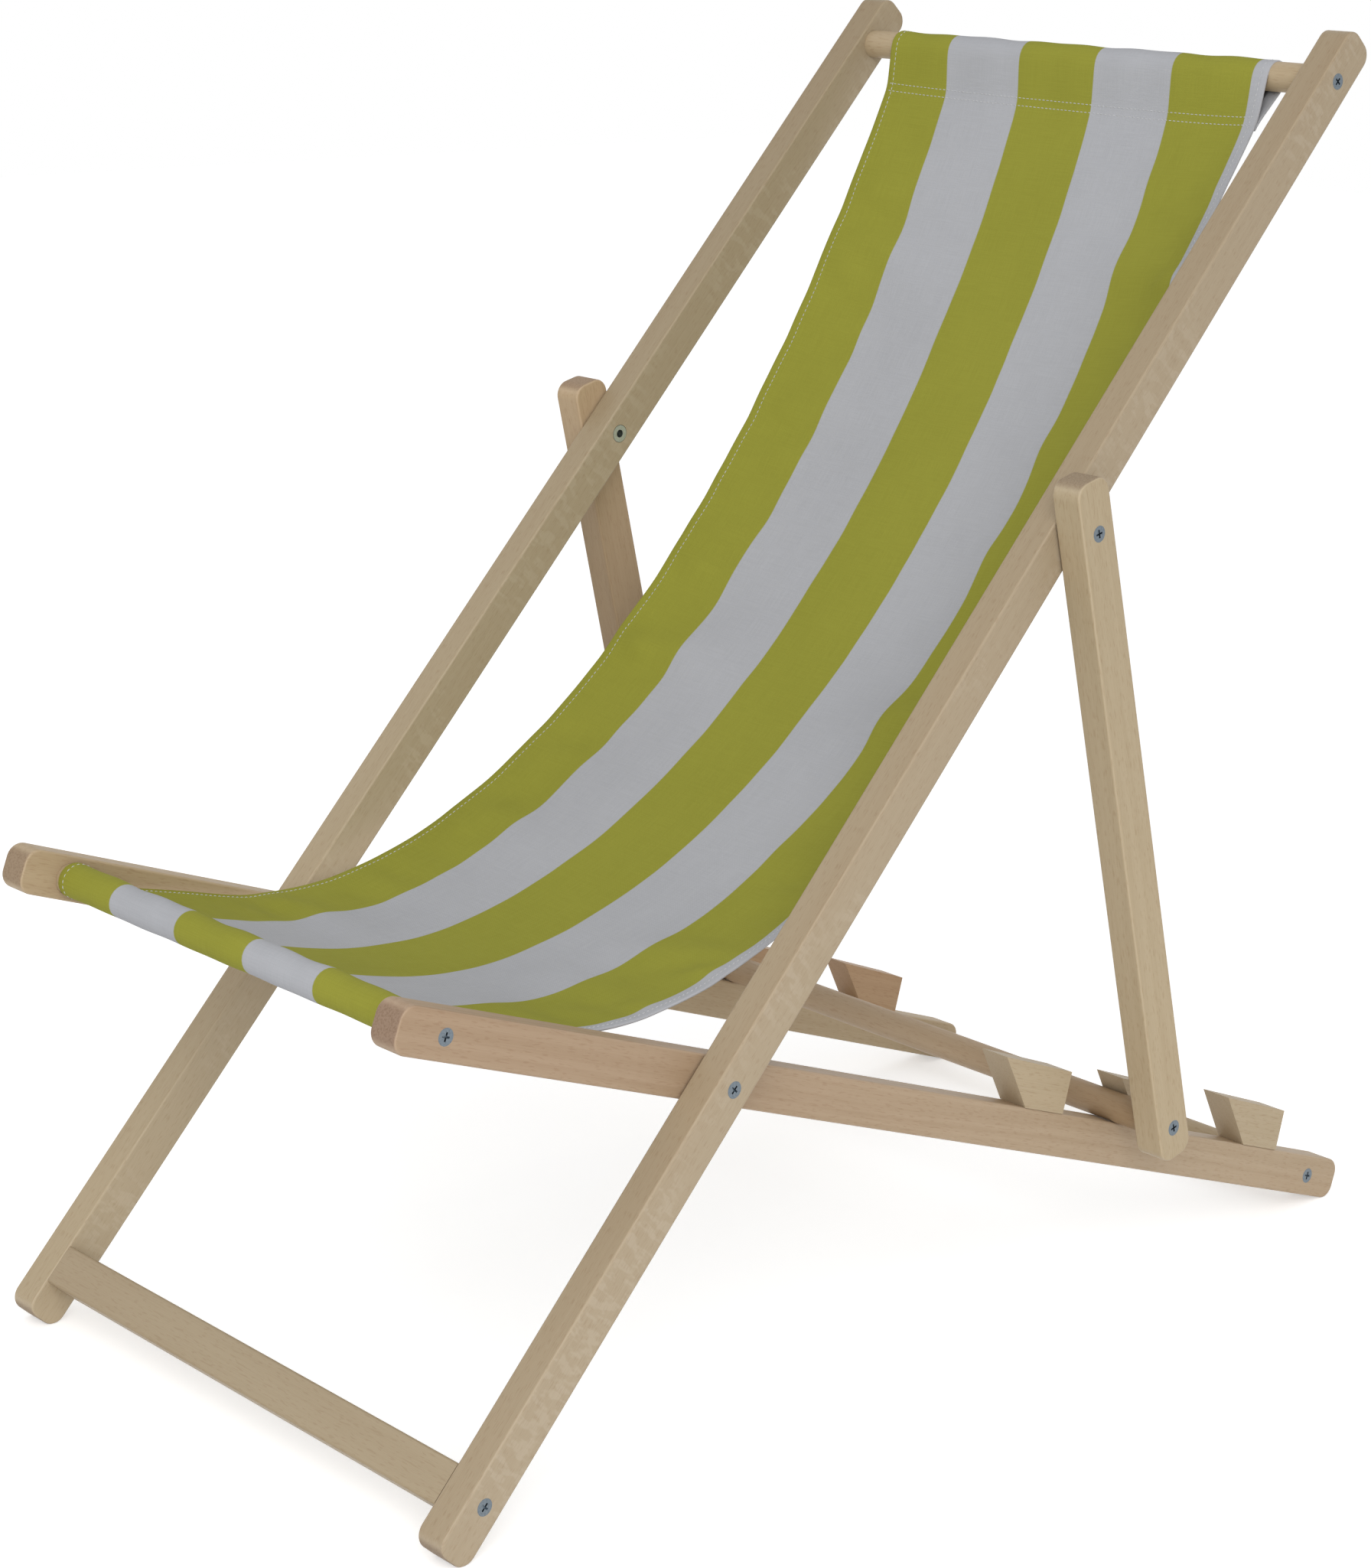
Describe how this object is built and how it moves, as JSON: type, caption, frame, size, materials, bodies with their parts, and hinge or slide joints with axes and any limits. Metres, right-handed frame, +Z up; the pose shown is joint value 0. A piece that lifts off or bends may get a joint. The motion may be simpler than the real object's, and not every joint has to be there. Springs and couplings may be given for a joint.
{
  "type": "child deck chair",
  "caption": "Child's folding beech deck chair: back, seat and prop frames hinged together, notched seat rails, and a striped cloth sling hung between a head bar and a front bar.",
  "frame": {"origin": "on the floor, under the middle of the chair's box", "axes": "+Z up, the sitter faces -Y, +X is the sitter's left"},
  "size_m": [0.442, 0.7806, 0.7553],
  "materials": {
    "beech": "bare sanded beech with fine flecks and eased edges",
    "zinc_steel": "zinc plated",
    "sling_cloth": "woven canvas, lime green and white stripes, white stitching"
  },
  "bodies": {
    "seat_frame": {"seat_rail_left": "beech", "seat_rail_right": "beech", "front_dowel": "beech", "rear_dowel": "beech", "notch_block_left_1": "beech", "notch_block_left_2": "beech", "notch_block_left_3": "beech", "notch_block_right_1": "beech", "notch_block_right_2": "beech", "notch_block_right_3": "beech", "block_screws": "zinc_steel", "front_dowel_screws": "zinc_steel", "rear_dowel_screws": "zinc_steel"},
    "back_frame": {"back_rail_left": "beech", "back_rail_right": "beech", "head_dowel": "beech", "foot_slat": "beech", "head_dowel_screws": "zinc_steel", "foot_slat_screws": "zinc_steel", "seat_pivot_bolts": "zinc_steel", "seat_pivot_nuts": "zinc_steel", "seat_pivot_washers": "zinc_steel", "sling": "sling_cloth"},
    "prop_frame": {"prop_leg_left": "beech", "prop_leg_right": "beech", "prop_dowel": "beech", "prop_dowel_screws": "zinc_steel", "prop_pivot_bolts": "zinc_steel", "prop_pivot_nuts": "zinc_steel", "prop_pivot_washers": "zinc_steel"}
  },
  "joints": [
    {"name": "back_lift", "type": "hinge", "parent": "seat_frame", "child": "back_frame", "pos_m": [0, -0.17941, 0.21202], "axis": [1, 0, 0], "range_deg": [0, 30], "deforming": ["sling"]},
    {"name": "prop_swing", "type": "hinge", "parent": "back_frame", "child": "prop_frame", "pos_m": [0, 0.07015, 0.48519], "axis": [1, 0, 0], "range_deg": [-21, 0]}
  ],
  "couplings": [
    {"joint": "prop_swing", "follows": "back_lift", "ratio": -0.7}
  ]
}
